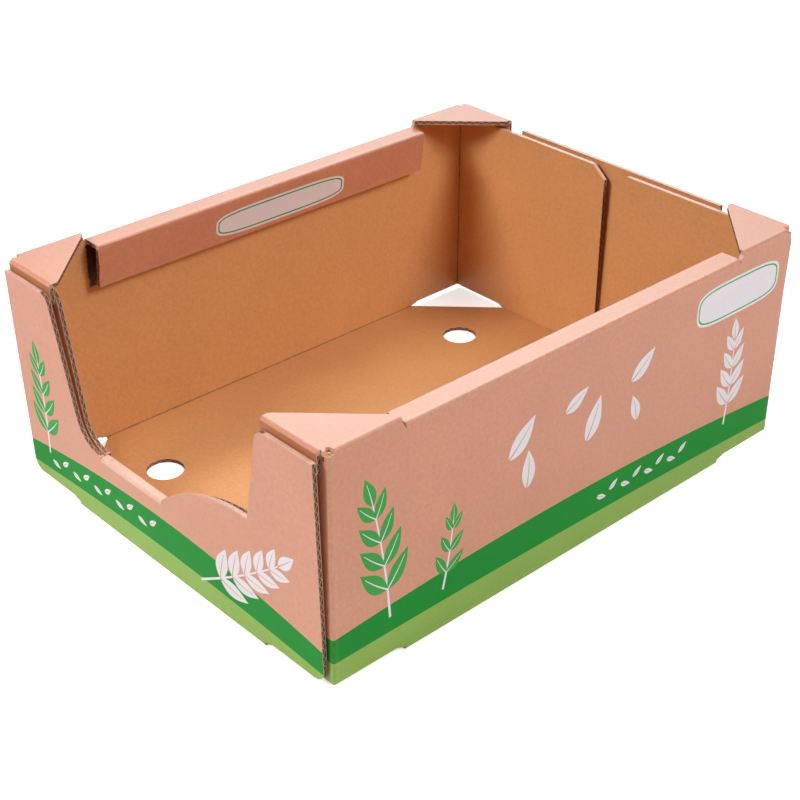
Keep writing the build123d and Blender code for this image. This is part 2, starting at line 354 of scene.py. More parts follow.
def makeLongWall(sx):
    # Upright panel with raised ends for the caps, notched at both feet; its mirror half gives the other end.
    place = placer((sx * halfW, 0, 0), yAxis, zAxis, sx * xAxis)
    low, high = rimTop - board, capTop - board
    capEnd = sideFold + sheet["capGap"]
    topHalf = np.array([(sideFold, low), (capEnd, high), (wallEnd, high)])
    top = np.vstack([mirrored(topHalf), topHalf])
    step = notchPath(sideFold, wallEnd)
    lowHalf = stacked(step[:, 0], np.maximum(step[:, 1], board))
    bottom = np.vstack([mirrored(lowHalf), lowHalf])
    u = mergeU(top, bottom, extra=np.linspace(-wallEnd, wallEnd, meshSteps["panel"]))
    sheetPanel(place, u, atU(bottom, u), atU(top, u), bands=bandsOn("side", u), across="u", creased=(1, 1, 1, 1))
    # Fold to the floor, its ends cut by the notch.
    taper = sheet["notchRun"] * board / sheet["notchRise"]
    y = np.linspace(-sideFold, sideFold, meshSteps["longFold"])
    y = np.unique(np.concatenate([y, step[:, 0], -step[:, 0]]))
    y = y[np.abs(y) < sideFold + taper]
    over = np.clip((np.abs(y) - sideFold) / taper, 0, 1)
    crease = stacked(sx * (halfW - board), y, board)
    foldStrip(crease, sx * xAxis, -zAxis, mats="paleBand", share=1 - over)
    for sy in (-1, 1):
        wallFoot = step[step[:, 1] >= board] * [sy, 1]
        cutEdge(place, wallFoot, inside=(sy * wallEnd, inHeight))
        cutEdge(place, [(sy * sideFold, low), (sy * capEnd, high)], inside=(sy * capEnd, 0), fluted=False)
        corner = np.array([(wallEnd, high - sheet["plyGap"]), (wallEnd, high), (wallEnd - sheet["relief"], high)])
        cutEdge(place, corner * [sy, 1], inside=(0, 0), fluted=False)


# Painted shade behind a hanging strip, in millimetres: where it ends and where it is full, below the rim and
# above the strip's edge, how it fades at both ends, and its strength.
shadeLook = {
    "fadeEnd": 34.0, "fullEnd": 28.0, "underRim": 0.5, "stripEdge": 0.4, "stripFull": 2.0,
    "past": 2.0, "endFade": 4.0, "lift": 0.02, "strength": 8.0,
}


def makeRim(sx):
    # Ledge and leaning strip, both straight along y, with a fold at the wall and one between them.
    inner, low = halfW - sheet["rimWidth"] + board, rimTop - board
    y = np.linspace(-sideFold, sideFold, meshSteps["longFold"])
    ledge = placer((0, 0, rimTop), yAxis, sx * xAxis, zAxis)
    sheetPanel(ledge, y, inner, halfW - board, rows=3, across="u")
    tilt = radians(sheet["stripLean"])
    down = np.array([sx * sin(tilt), 0, -cos(tilt)])
    normal = np.array([-sx * cos(tilt), 0, -sin(tilt)])
    strip = placer(np.array([sx * inner, 0, low]) + board * normal, yAxis, -down, normal)
    depth = sheet["stripHeight"] - board
    sheetPanel(strip, y, -depth, 0, across="u")
    foldStrip(stacked(sx * (halfW - board), y, low), sx * xAxis, zAxis)
    foldStrip(stacked(sx * inner, y, low), zAxis, normal)
    for end in (-sideFold, sideFold):
        cutEdge(ledge, [(end, inner), (end, halfW - board)], inside=(0, halfW))
        cutEdge(strip, [(end, -depth), (end, 0)], inside=(0, 0))
    cutEdge(strip, [(-sideFold, -depth), (sideFold, -depth)], inside=(0, 0), fluted=False)
    # Painted shade on the wall and on the strip's back: full between its ends, none a little below the strip.
    look = shadeLook
    wall = placer((sx * halfW, 0, 0), yAxis, zAxis, sx * xAxis)
    reach = sideFold + look["past"]
    wallU = np.linspace(-reach, reach, meshSteps["shade"])
    wallV = rimTop - np.array([look["fadeEnd"], look["fullEnd"], board + look["underRim"]])
    stripV = np.array([look["stripEdge"] - depth, look["stripFull"] - depth, -look["stripEdge"]])
    for place, u, v in ((wall, wallU, wallV), (strip, y, stripV)):
        ends = np.clip((reach - np.abs(u)) / look["endFade"], 0, 1)
        shade = look["strength"] * np.array([0, 1, 1])[:, None] * ends
        points = place(u, v[:, None], -board - look["lift"])
        addGrid(points, "innerLiner", stacked(u, v[:, None]) / uvUnit, not place.flip, shade)
    return strip


def makeCorner(sx, sy):
    # Cap, its fold to the wall, its tab and the upright fold of the flap; sx and sy say which corner.
    side, under = halfW - board, capTop - board
    capEnd, tip = sideFold + sheet["capGap"], halfW - sheet["capReach"]
    bare, tabStart = halfW - sheet["capSquare"], halfW - sheet["tabGap"]
    r = sheet["relief"]
    # Cap, with a round relief where its two folds meet.
    cap = placer((0, 0, capTop), sy * yAxis, sx * xAxis, zAxis)
    cut = rounded([(capEnd, bare), (tabCrease - board, tip), (tabCrease, tip)], [sheet["capTipRound"]])
    swing = wallEnd - r * np.cos(np.linspace(0, pi, meshSteps["bite"]))
    bite = stacked(swing, side - np.sqrt(np.maximum(r * r - (swing - wallEnd) ** 2, 0)))
    outerEdge = np.vstack([[(capEnd, side)], bite, [(tabCrease, side)]])
    u = mergeU(cut, outerEdge, extra=np.linspace(capEnd, tabCrease, meshSteps["cap"]))
    sheetPanel(cap, u, atU(cut, u), atU(outerEdge, u), rows=4, across="u")
    cutEdge(cap, cut, inside=(tabCrease, side))
    cutEdge(cap, [(capEnd, bare), (capEnd, side)], inside=(tabCrease, side))
    cutEdge(cap, bite, inside=(wallEnd, tip), fluted=False)
    ear = [(wallEnd + r, side), (tabCrease, side), (tabCrease, tabStart)]
    cutEdge(cap, ear, inside=(wallEnd, tip), fluted=False)
    y = np.linspace(capEnd, wallEnd - r, meshSteps["capFold"])
    foldStrip(stacked(sx * side, sy * y, under), sx * xAxis, zAxis)
    # Tab, folded down outside the flap; its face and the last rows of its fold are painted darker, as shade.
    x = np.linspace(tip, tabStart, meshSteps["tab"])
    crease = stacked(sx * x, sy * tabCrease, under)
    shadedRows = 2
    linerRows = meshSteps["foldArc"] + 1 - shadedRows
    turned = np.repeat([matIndex["outerLiner"], matIndex["tabShade"]], [linerRows, shadedRows])
    foldStrip(crease, zAxis, sy * yAxis, mats=turned, radius=sheet["tabFoldRound"], wornAndShaded=0.0)
    tab = placer((0, sy * (tabCrease + board), 0), sx * xAxis, zAxis, sy * yAxis)
    foot = [(tip, under), (tip, tabBottom), (tabStart, tabBottom), (tabStart, under)]
    foot = rounded(foot, [sheet["tabRound"]] * 2)
    foot[:, 0] += np.linspace(-hair / 10, hair / 10, len(foot))
    u = np.unique(foot[:, 0])
    sheetPanel(tab, u, atU(foot, u), under, rows=4, face="tabShade")
    cutEdge(tab, foot, inside=((tip + tabStart) / 2, under))
    # Upright fold of the flap, with the wall's printed bands carried round it.
    pale, dark = bandTop("sidePale", sy * wallEnd), bandTop("sideDark", sy * wallEnd)
    top = under - sheet["plyGap"]
    z = np.linspace(sheet["notchRise"], top, meshSteps["flapFold"])
    z = np.unique(np.concatenate([z, [pale, dark]]))
    heights = (z[:-1] + z[1:]) / 2
    names = np.where(heights < pale, "paleBand", np.where(heights < dark, "darkBand", "outerLiner"))
    bandCols = np.array([[matIndex[name] for name in names]])
    foldStrip(stacked(sx * side, sy * wallEnd, z), sx * xAxis, sy * yAxis, mats=bandCols)
    # Closes the fold's flat end above the flap.
    y = np.array([wallEnd, wallEnd + board - edgeLook["skin"]])[:, None]
    quad = stacked(sx * side, sy * y, np.array([flapTop, top]))
    addGrid(quad, "cutEdge", np.zeros((2, 2, 2)), sx * sy < 0)


def flapFoot(start, end):
    # Lower edge of a corner flap: just above the floor, then a short rise and up along the notch.
    lowest, rise = board + sheet["plyGap"], 0.3
    step = notchPath(endFold, end)
    step = step[step[:, 1] > lowest]
    return np.vstack([[(start, lowest), (step[0, 0] - rise, lowest)], step])


def makeBackFlap(sx):
    # Flat panel from the wall's end fold to the slit in the middle, its top corner cut off at a slant.
    place = placer((0, flapFace, 0), sx * xAxis, zAxis, yAxis)
    side, slit, chamfer = halfW - board, sheet["slit"] / 2, flapTop - sheet["chamferFall"]
    top = np.array([(slit, chamfer), (slit + sheet["chamferRun"], flapTop), (side, flapTop)])
    bottom = flapFoot(slit, side)
    u = mergeU(top, bottom, extra=np.linspace(slit, side, meshSteps["flap"]))
    sheetPanel(place, u, atU(bottom, u), atU(top, u), bands=flapBands(u, 1), creased=(0, 0, 0, 1))
    cutEdge(place, top, inside=(side, 0), fluted=False)
    cutEdge(place, [(slit, bottom[0, 1]), (slit, chamfer)], inside=(side, 0))
    cutEdge(place, bottom, inside=(inHalf, inHeight), fluted=False)


def openingEdge(top, tuck=0.0):
    # Top edge of the front: post, slope, round, rolled edge, wave, slope, post. The wave is a circular arc.
    low, height, run = sheet["lowEdge"], sheet["waveHeight"] - tuck, sheet["waveRun"]
    fall = sheet["waveHeight"] - low
    radius = (run ** 2 + fall ** 2) / (2 * fall)
    turn = np.degrees(atan2(run, radius - fall))
    wave = arc((rightFoot, height - radius), radius, 90 + turn, 90, meshSteps["wave"])
    mouthTop = mouth - (panelTop - top) * postSlope
    count, post = meshSteps["postRound"], sheet["postRound"]
    left = [(-panelSide, top), (-mouthTop, top), (leftFoot, low), (hemLeft, low)]
    right = [(rightFoot, height), (mouthTop, top), (panelSide, top)]
    return rounded(left, [post, sheet["leftRound"]], count), wave, rounded(right, [post], count)


def cutLeftPost(place, left):
    # Cut edges of the left post: its pressed top, the fluted slope and round, the pressed start of the rolled edge.
    cutEdge(place, left[:2], inside=(-inPost, 0), fluted=False)
    cutEdge(place, left[1:-1], inside=(-inPost, 0))
    cutEdge(place, left[-2:], inside=(-inHalf, 0), fluted=False)


def cutRightPost(place, wave, right, fluted):
    # Cut edges of the wave, of the right post's fluted slope and of its pressed top.
    cutEdge(place, wave, inside=(inHalf, 0), fluted=fluted)
    cutEdge(place, right[:-1], inside=(inPost, 0))
    cutEdge(place, right[-2:], inside=(inPost, 0), fluted=False)


def endPlacer(sy):
    # An end panel leans out about its crease, so its rise is upright turned by the lean.
    normal = np.array([0, sy * cos(lean), -sin(lean)])
    rise = np.array([0, sy * sin(lean), cos(lean)])
    crease = np.array([0, sy * (endFoot - board), board])
    return placer(crease + board * normal - board * rise, xAxis, rise, normal), crease


def endFootPath():
    # Lower edge of an end panel from one rounded foot to the other, over the fold in the middle.
    rise, upright = sheet["notchRise"], 20.0
    step = notchPath(endFold, panelSide)
    step = step[step[:, 1] >= board]
    foot = rounded([step[-2], (panelSide, rise), (panelSide + hair, rise + upright)], [sheet["footRound"]])
    half = np.vstack([[(endFold, board)], step[:-1], foot[1:-1]])
    half[:, 0] += np.linspace(0, hair, len(half))
    return np.vstack([mirrored(half), half])


def makeEndFold(normal, crease):
    # Straight fold from the floor to an end panel, between the two notches.
    x = np.linspace(-endFold, endFold, meshSteps["endFold"])
    foldStrip(stacked(x, *crease[1:]), normal, -zAxis, mats="paleBand")


def cutEndSides(place, bottom, top):
    # Cut edges of an end panel's two upright sides and of its two feet.
    for sx in (-1, 1):
        cutEdge(place, [(sx * panelSide, bottom[-1, 1]), (sx * panelSide, top)], inside=(0, inHeight))
        half = bottom[bottom[:, 0] * sx > endFold + 10 * hair]
        cutEdge(place, half, inside=(sx * inPost, inHeight))


def makeBackPanel():
    # Leaning panel, its top stepped down beside the caps.
    place, crease = endPlacer(1)
    shoulder = halfW - sheet["capReach"] - sheet["backGap"]
    low = panelTop - sheet["backRaise"]
    topHalf = np.array([(shoulder, panelTop), (shoulder + hair, low), (panelSide, low)])
    top = np.vstack([mirrored(topHalf), topHalf])
    bottom = endFootPath()
    u = mergeU(top, bottom, extra=np.linspace(-panelSide, panelSide, meshSteps["panel"]))
    sheetPanel(place, u, atU(bottom, u), atU(top, u), bands=bandsOn("front", u))
    makeEndFold(place.normal, crease)
    for i in range(len(top) - 1):
        level = i % 2 == 0
        cutEdge(place, top[i:i + 2], inside=(0, 0 if level else low), fluted=not level)
    cutEndSides(place, bottom, low)


def makeFront():
    # Leaning panel with the opening in its top, and a rolled edge in the opening's low part.
    place, crease = endPlacer(-1)
    normal, rise = place.normal, place.rise
    left, wave, right = openingEdge(panelTop)
    bottom = endFootPath()
    hemTop = sheet["lowEdge"] - board
    hem = np.array([(hemLeft + hair, hemTop), (hemRight - hair, hemTop)])
    top = np.vstack([left, hem, wave, right[1:]])
    u = mergeU(top, bottom, extra=np.linspace(-panelSide, panelSide, meshSteps["frontPanel"]))
    sheetPanel(place, u, atU(bottom, u), atU(top, u), bands=bandsOn("front", u))
    makeEndFold(normal, crease)
    cutLeftPost(place, left)
    cutRightPost(place, wave, right, fluted=False)
    cutEndSides(place, bottom, panelTop)
    # Rolled edge: over the top, down behind, and a lip inside.
    x = np.linspace(hemLeft + sheet["hemGap"], hemRight - sheet["hemGap"], meshSteps["hem"])
    firstCrease = place(x, hemTop, -board)
    secondCrease = firstCrease - sheet["plyGap"] * normal
    foldStrip(firstCrease, normal, rise, mats="pressedEdge")
    over = (board - edgeLook["skin"]) * rise
    bridge = np.stack([firstCrease + over, secondCrease + over])
    addGrid(bridge, "pressedEdge", stacked(x, np.zeros((2, 1))) / uvUnit, False)
    foldStrip(secondCrease, rise, -normal, mats="pressedEdge")
    lip = placer(place(0.0, hemTop, -board) - (sheet["plyGap"] + board) * normal, xAxis, rise, -normal)
    depth, middle = sheet["lip"] - board, x[len(x) // 2]
    sheetPanel(lip, x, -depth, 0, rows=4)
    cutEdge(lip, [(x[0], -depth), (x[-1], -depth)], inside=(middle, 0), fluted=False)
    for end in (x[0], x[-1]):
        cutEdge(lip, [(end, -depth), (end, 0)], inside=(middle, -depth / 2))
    return place


def makeFrontFlaps():
    # Two flat panels behind the front that follow its opening, each up to the rolled edge's lip.
    place = placer((0, -flapFace, 0), xAxis, zAxis, -yAxis)
    side = halfW - board
    left = openingEdge(flapTop)[0]
    wave, right = openingEdge(flapTop, sheet["flapTuck"])[1:]
    left[0, 0], right[-1, 0] = -side, side
    footRight = flapFoot(0, side)
    footLeft, lowest = mirrored(footRight), footRight[0, 1]
    u = mergeU(left, footLeft, extra=np.linspace(-side, hemLeft, meshSteps["flap"]))
    u = u[u <= hemLeft]
    sheetPanel(place, u, atU(footLeft, u), atU(left, u), bands=flapBands(u, -1), creased=(0, 0, 1, 0))
    cutLeftPost(place, left)
    cutEdge(place, [(hemLeft, lowest), (hemLeft, sheet["lowEdge"])], inside=(-inPost, 0))
    top = np.vstack([wave, right[1:]])
    u = mergeU(top, footRight, extra=np.linspace(hemRight, side, meshSteps["rightFlap"]))
    u = u[u >= hemRight]
    sheetPanel(place, u, atU(footRight, u), atU(top, u), bands=flapBands(u, -1), creased=(0, 0, 0, 1))
    cutRightPost(place, wave, right, fluted=True)
    cutEdge(place, [(hemRight, lowest), wave[0]], inside=(inHalf, 0))


makeFloor()
strips = {}
for sx in (-1, 1):
    makeLongWall(sx)
    strips[sx] = makeRim(sx)
    makeBackFlap(sx)
    for sy in (-1, 1):
        makeCorner(sx, sy)
makeBackPanel()
frontPlace = makeFront()
makeFrontFlaps()
print("sheet folded:", parts["count"], "points")

# Printed leaves and labels, in millimetres and degrees. A sprig or branch is its panel, root, angle, height, pairs of
# leaves and leaf size; a drifting leaf its root, angle and length; a row its start, end and count of leaves;
# a label its middle, length and height.
artLook = {
    "sprigs": [("front", -124, 26, 84, 70, 4, 24), ("side", -152, 30, 94, 84, 4, 28),
               ("side", -112, 28, 76, 46, 3, 18)],
    "branches": [("front", 36, 15, 30, 96, 5, 27), ("side", 142, 30, 84, 66, 4, 23)],
    "drifting": [(-62, 92, 38, 30), (-46, 66, 80, 26), (-16, 104, 20, 22),
                 (4, 76, 60, 30), (42, 102, 30, 26), (50, 72, 96, 20)],
    "driftBend": 0.16, "rowLeaf": (9.5, 3.8), "rowTilt": 28, "rowBend": 0.12,
    "frontRow": (-122, -14, 10), "sideRow": (18, 96, 8),
    "sideLabel": (142, 126, 82, 27), "stripLabel": (8, -14.5, 112, 19),
    "lift": 0.012,
}
leafLook = {
    "points": 17, "rows": 5, "power": 0.8, "width": 0.42,
    "ribPoints": 14, "ribWidth": 0.09, "ribTaper": 0.8, "ribLift": 0.5,
}
sprigLook = {
    "points": 21, "bend": 0.08, "curl": 9, "stem": 1.7, "stemTaper": 0.9,
    "firstPair": 0.24, "lastPair": 0.84, "size": 1.05, "sizeTaper": 0.45, "open": 52, "openTaper": 14,
    "leafBend": 0.14, "tipLength": 0.7, "tipWidth": 0.3, "tipBend": 0.05,
}
labelLook = {"power": 4.0, "points": 97, "rows": 7, "ringInset": 1.6, "ringWidth": 1.0}


def printPatch(place, rows, name, level):
    # A printed patch lies on the liner, each level a hair above the one below.
    depth = artLook["lift"] * level - edgeLook["skin"]
    addGrid(place(rows[..., 0], rows[..., 1], depth), name, rows / uvUnit, place.flip)


def printStroke(place, path, width, name, level):
    # A line along a path: the path moved half the width to each side.
    along = np.gradient(path, axis=0)
    along /= np.linalg.norm(along, axis=1, keepdims=True)
    side = stacked(-along[:, 1], along[:, 0]) * (width / 2)[:, None]
    printPatch(place, np.stack([path - side, path + side]), name, level)


def bentLine(root, angle, length, bend, count):
    # Root plus a straight run at the angle, plus bend times the run's square across it; also gives run and across.
    t = np.linspace(0, 1, count)
    along = np.array([cos(radians(angle)), sin(radians(angle))])
    across = np.array([-along[1], along[0]])
    return np.asarray(root) + length * (t[:, None] * along + bend * t[:, None] ** 2 * across), t, across


def printLeaf(place, root, angle, length, width, name, rib, level, bend):
    # Along a bent line, half width is a sine of pi times the run to a power; the rib narrows along the same line.
    look = leafLook
    middle, t, across = bentLine(root, angle, length, bend, look["points"])
    half = width / 2 * np.sin(pi * t ** look["power"])
    steps = np.linspace(-1, 1, look["rows"])[:, None, None]
    printPatch(place, middle + steps * half[:, None] * across, name, level)
    count = look["ribPoints"]
    ribWidth = look["ribWidth"] * width * (1 - look["ribTaper"] * t[:count])
    printStroke(place, middle[:count], ribWidth, rib, level + look["ribLift"])


def printSprig(place, root, angle, height, pairs, leafSize, leafName, rib):
    # A bent stem in white, pairs of leaves that close and shrink up it, and one leaf at its tip.
    look = sprigLook
    spine, t = bentLine(root, angle, height, look["bend"], look["points"])[:2]
    printStroke(place, spine, look["stem"] - look["stemTaper"] * t, "whitePrint", 1)
    for s in np.linspace(look["firstPair"], look["lastPair"], pairs):
        foot = [np.interp(s, t, spine[:, 0]), np.interp(s, t, spine[:, 1])]
        size = leafSize * (look["size"] - look["sizeTaper"] * s)
        for side, level in ((1, 2), (-1, 3)):
            turn = angle + look["curl"] * s + side * (look["open"] - look["openTaper"] * s)
            width = size * leafLook["width"]
            printLeaf(place, foot, turn, size, width, leafName, rib, level, -look["leafBend"] * side)
    length, width = leafSize * look["tipLength"], leafSize * look["tipWidth"]
    printLeaf(place, spine[-2], angle + look["curl"], length, width, leafName, rib, 4, look["tipBend"])


def printLabel(place, u, v, length, height):
    # A blank label: a superellipse of white, ruled from its lower to its upper half, and a thin ring inside its edge.
    look = labelLook
    turn = np.linspace(0, 2 * pi, look["points"])
    lobes = stacked(np.cos(turn), np.sin(turn))
    lobes = np.sign(lobes) * np.abs(lobes) ** (2 / look["power"])

    def ring(inset):
        # The outline drawn in by the inset on each side.
        return np.array([u, v]) + lobes * [length / 2 - inset, height / 2 - inset]

    half = look["points"] // 2
    lower, upper = ring(0)[half:], ring(0)[:half + 1][::-1]
    share = np.linspace(0, 1, look["rows"])[:, None, None]
    printPatch(place, lower + (upper - lower) * share, "whitePrint", 1)
    outer = look["ringInset"]
    printPatch(place, np.stack([ring(outer), ring(outer + look["ringWidth"])]), "leafPrint", 2)


def leafRow(place, panel, start, end, count):
    # A row of small leaves along the middle of the dark band, tilted up and down in turn.
    length, width = artLook["rowLeaf"]
    tilt, bend = artLook["rowTilt"], artLook["rowBend"]
    for i, u in enumerate(np.linspace(start, end, count)):
        v = (bandTop(panel + "Dark", u) + bandTop(panel + "Pale", u)) / 2
        printLeaf(place, (u, v), tilt if i % 2 else -tilt, length, width, "whitePrint", "darkBand", 1, bend)


def makePrint():
    # Green sprigs and white branches, then drifting leaves, rows of leaves and labels.
    wall = placer((halfW, 0, 0), yAxis, zAxis, xAxis)
    panels = {"front": frontPlace, "side": wall}
    for kind, leaf, rib in (("sprigs", "leafPrint", "whitePrint"), ("branches", "whitePrint", "outerLiner")):
        for panel, u, v, *shape in artLook[kind]:
            printSprig(panels[panel], (u, v), *shape, leaf, rib)
    for u, v, angle, length in artLook["drifting"]:
        width = length * leafLook["width"]
        printLeaf(wall, (u, v), angle, length, width, "whitePrint", "outerLiner", 1, artLook["driftBend"])
    leafRow(frontPlace, "front", *artLook["frontRow"])
    leafRow(wall, "side", *artLook["sideRow"])
    printLabel(wall, *artLook["sideLabel"])
    printLabel(strips[-1], *artLook["stripLabel"])


makePrint()
print("print laid on:", parts["count"], "points")


def srgb(colour, gain=1.0):
    # Screen colour to linear, with the usual 2.4 power curve.
    c = np.array(colour) / 255
    return tuple(np.where(c <= 0.04045, c / 12.92, ((c + 0.055) / 1.055) ** 2.4) * gain) + (1.0,)


# Finishes: tone, what shows where it is worn (on the inner liner and the tab: painted shade), roughness, gloss,
# and how strong cloud, mottle, fibres, wear (there painted shade) and ribs are.
paperLook = {
    "outerLiner": ((214, 143, 112), (224, 178, 152), 0.34, 0.5, 0.03, 0.08, 0.14, 0.24, 0.6),
    # The inner liner's under tone is painted shade: dark in creases and behind the hanging strips.
    "innerLiner": ((222, 162, 106), (70, 34, 14), 0.44, 0.5, 0.03, 0.08, 0.30, 0.85, 0.5),
    "cutEdge": ((208, 168, 144), (216, 178, 154), 0.75, 0.2, 0.06, 0.16, 0.55, 0.30, 0.0),
    # Flute hollows are painted darker, as shade in the recesses of the cut edge.
    "fluteHollowShade": ((136, 96, 70), (140, 100, 74), 0.80, 0.1, 0.06, 0.14, 0.45, 0.00, 0.0),
    "darkBand": ((10, 138, 42), (120, 150, 84), 0.55, 0.15, 0.04, 0.06, 0.22, 0.30, 0.6),
    "paleBand": ((142, 178, 78), (190, 180, 116), 0.50, 0.3, 0.04, 0.06, 0.22, 0.30, 0.6),
    "whitePrint": ((238, 230, 234), (226, 196, 184), 0.48, 0.5, 0.02, 0.03, 0.12, 0.40, 0.6),
    # The tab's finish is painted shade: a darker brown for its face and the end of its fold.
    "tabShade": ((178, 112, 72), (150, 90, 54), 0.50, 0.3, 0.06, 0.07, 0.40, 0.50, 0.5),
    "pressedEdge": ((230, 180, 158), (234, 196, 176), 0.40, 0.5, 0.06, 0.12, 0.40, 0.30, 0.0),
    "leafPrint": ((46, 156, 58), (150, 160, 96), 0.50, 0.3, 0.04, 0.06, 0.22, 0.30, 0.6),
}
# Grain that all the papers share: noise scales, the span of noise that is used, and heights of the bumps in metres.
grainLook = {
    "cloudScale": 22.0, "cloudDetail": 3.0, "mottleScale": 420.0, "mottleDetail": 5.0, "mottleRough": 0.65,
    "fibreScale": (34.0, 300.0, 1.0), "fibreDetail": 2.0, "span": (0.3, 0.7),
    "darkSpan": (0.62, 0.76), "darkGain": 0.55, "lightSpan": (0.36, 0.24), "lightGain": 1.35, "lightShare": 0.6,
    "wearShadeSpan": (0.35, 0.62), "leastWearShade": 0.15, "roughSwing": 0.06,
    "fibreHeight": 0.6, "bump": 0.25, "bumpHeight": 0.0001, "ribHeight": 0.000012,
}


def addNode(tree, kind, out, feeds=None, **options):
    # One node with its options set; a socket among the feeds is linked, and any other value is written in.
    made = tree.nodes.new("ShaderNode" + kind)
    for key, value in options.items():
        setattr(made, key, value)
    for slot, feed in (feeds or {}).items():
        if isinstance(feed, bpy.types.NodeSocket):
            tree.links.new(feed, made.inputs[slot])
        else:
            made.inputs[slot].default_value = feed
    return made.outputs[out]


def spreadNode(tree, value, span, low, high):
    # Straight line from low at the span's start to high at its end, held level beyond.
    feeds = {"Value": value, "From Min": span[0], "From Max": span[1], "To Min": low, "To Max": high}
    return addNode(tree, "MapRange", "Result", feeds)


def makePaper(name, look):
    # Colour = tone x (1 + cloud) x (1 + mottle), then dark and light fibres, then the under tone where the wear
    # attribute says: real wear on the outer papers, painted shade on the inner liner and the tab.
    # Height = fibres + mottle, over ribs that are a sine across the flutes.
    tone, under, rough, gloss, cloudy, mottled, fibres, wornAndShaded, ribs = look
    g = grainLook
    mat = bpy.data.materials.new(name)
    mat.use_nodes = True
    tree = mat.node_tree
    shader = tree.nodes["Principled BSDF"]
    shader.inputs["Specular IOR Level"].default_value = gloss
    add, spread = partial(addNode, tree), partial(spreadNode, tree)

    def blend(factor, a, b, kind="MIX"):
        # Factor of b over a, or a times b.
        return add("Mix", 2, {0: factor, 6: a, 7: b}, data_type="RGBA", blend_type=kind)

    coords = add("TexCoord", "Object")
    uvs = add("UVMap", "UV", uv_map="sheet")
    cloud = add("TexNoise", "Fac", {"Vector": coords, "Scale": g["cloudScale"], "Detail": g["cloudDetail"]})
    mottle = add("TexNoise", "Fac", {"Vector": coords, "Scale": g["mottleScale"], "Detail": g["mottleDetail"],
                                     "Roughness": g["mottleRough"]})
    drawn = add("Mapping", "Vector", {"Vector": uvs, "Scale": g["fibreScale"]})
    fibre = add("TexNoise", "Fac", {"Vector": drawn, "Scale": 1.0, "Detail": g["fibreDetail"]})
    wearAndShade = add("Attribute", "Fac", attribute_name="wearAndShade")
    colour = blend(spread(cloud, g["span"], 0.0, 1.0), srgb(tone, 1 - cloudy), srgb(tone, 1 + cloudy))
    colour = blend(1.0, colour, spread(mottle, g["span"], 1 - mottled, 1 + mottled), "MULTIPLY")
    colour = blend(spread(fibre, g["darkSpan"], 0.0, fibres), colour, srgb(tone, g["darkGain"]))
    light = spread(fibre, g["lightSpan"], 0.0, fibres * g["lightShare"])
    colour = blend(light, colour, srgb(tone, g["lightGain"]))
    ragged = spread(mottle, g["wearShadeSpan"], g["leastWearShade"] * wornAndShaded, wornAndShaded)
    colour = blend(add("Math", 0, {0: wearAndShade, 1: ragged}, operation="MULTIPLY"), colour, srgb(under))
    tree.links.new(colour, shader.inputs["Base Color"])
    roughness = spread(mottle, g["span"], rough - g["roughSwing"], rough + g["roughSwing"])
    tree.links.new(roughness, shader.inputs["Roughness"])
    height = add("Math", 0, {0: fibre, 1: g["fibreHeight"], 2: mottle}, operation="MULTIPLY_ADD")
    grain = add("Bump", "Normal", {"Strength": g["bump"], "Distance": g["bumpHeight"], "Height": height})
    if ribs:
        flute = add("SeparateXYZ", "X", {"Vector": uvs})
        turns = add("Math", 0, {0: flute, 1: 2 * pi * uvUnit / edgeLook["flutePitch"]}, operation="MULTIPLY")
        wave = add("Math", 0, {0: turns}, operation="SINE")
        grain = add("Bump", "Normal", {"Strength": ribs, "Distance": g["ribHeight"], "Height": wave, "Normal": grain})
    tree.links.new(grain, shader.inputs["Normal"])
    return mat


# Mesh finish: points nearer than weld and edges under sliver join, in metres; creases over sharp stay sharp.
meshLook = {"weld": 2e-6, "sliver": 1e-6, "sharp": 35.0}


def makeTray():
    # All the grids end to end in one mesh, with UV, wear and painted shade, and finish for each, from millimetres to
    # metres.
    verts = np.vstack(parts["verts"]) / 1000
    faces = np.vstack(parts["faces"])
    mats = np.concatenate(parts["mats"])
    uvs = np.vstack(parts["uvs"])
    mesh = bpy.data.meshes.new("tray")
    mesh.vertices.add(len(verts))
    mesh.vertices.foreach_set("co", verts.astype(np.float32).ravel())
    mesh.loops.add(faces.size)
    mesh.loops.foreach_set("vertex_index", faces.astype(np.int32).ravel())
    mesh.polygons.add(len(faces))
    mesh.polygons.foreach_set("loop_start", np.arange(0, faces.size, 4, dtype=np.int32))
    mesh.polygons.foreach_set("material_index", mats.astype(np.int32))
    layer = mesh.uv_layers.new(name="sheet")
    layer.data.foreach_set("uv", uvs[faces.ravel()].astype(np.float32).ravel())
    wearAndShade = mesh.attributes.new("wearAndShade", "FLOAT", "POINT")
    wearAndShade.data.foreach_set("value", np.concatenate(parts["wearAndShade"]).astype(np.float32))
    mesh.update(calc_edges=True)
    mesh.validate()
    # Joins the panels, folds and cut edges where their points meet, and drops faces without area.
    work = bmesh.new()
    work.from_mesh(mesh)
    bmesh.ops.remove_doubles(work, verts=work.verts[:], dist=meshLook["weld"])
    bmesh.ops.dissolve_degenerate(work, edges=work.edges[:], dist=meshLook["sliver"])
    work.to_mesh(mesh)
    work.free()
    for name in matNames:
        mesh.materials.append(makePaper(name, paperLook[name]))
    obj = bpy.data.objects.new("traySheet", mesh)
    bpy.context.scene.collection.objects.link(obj)
    mesh.shade_smooth()
    mesh.set_sharp_from_angle(angle=radians(meshLook["sharp"]))
    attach(obj, "root")
    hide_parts("tray")
    return obj


tray = makeTray()
print("tray mesh:", len(tray.data.polygons), "faces")

# Stage in metres: half width and drop of the floor, its tone, its glow to the camera near and far, the sky's light.
stageLook = {
    "reach": 30.0, "drop": 0.0004, "floorTone": 0.9,
    "glow": 0.62, "farGlow": 1.0, "near": 0.8, "far": 3.2, "sky": 0.05,
}
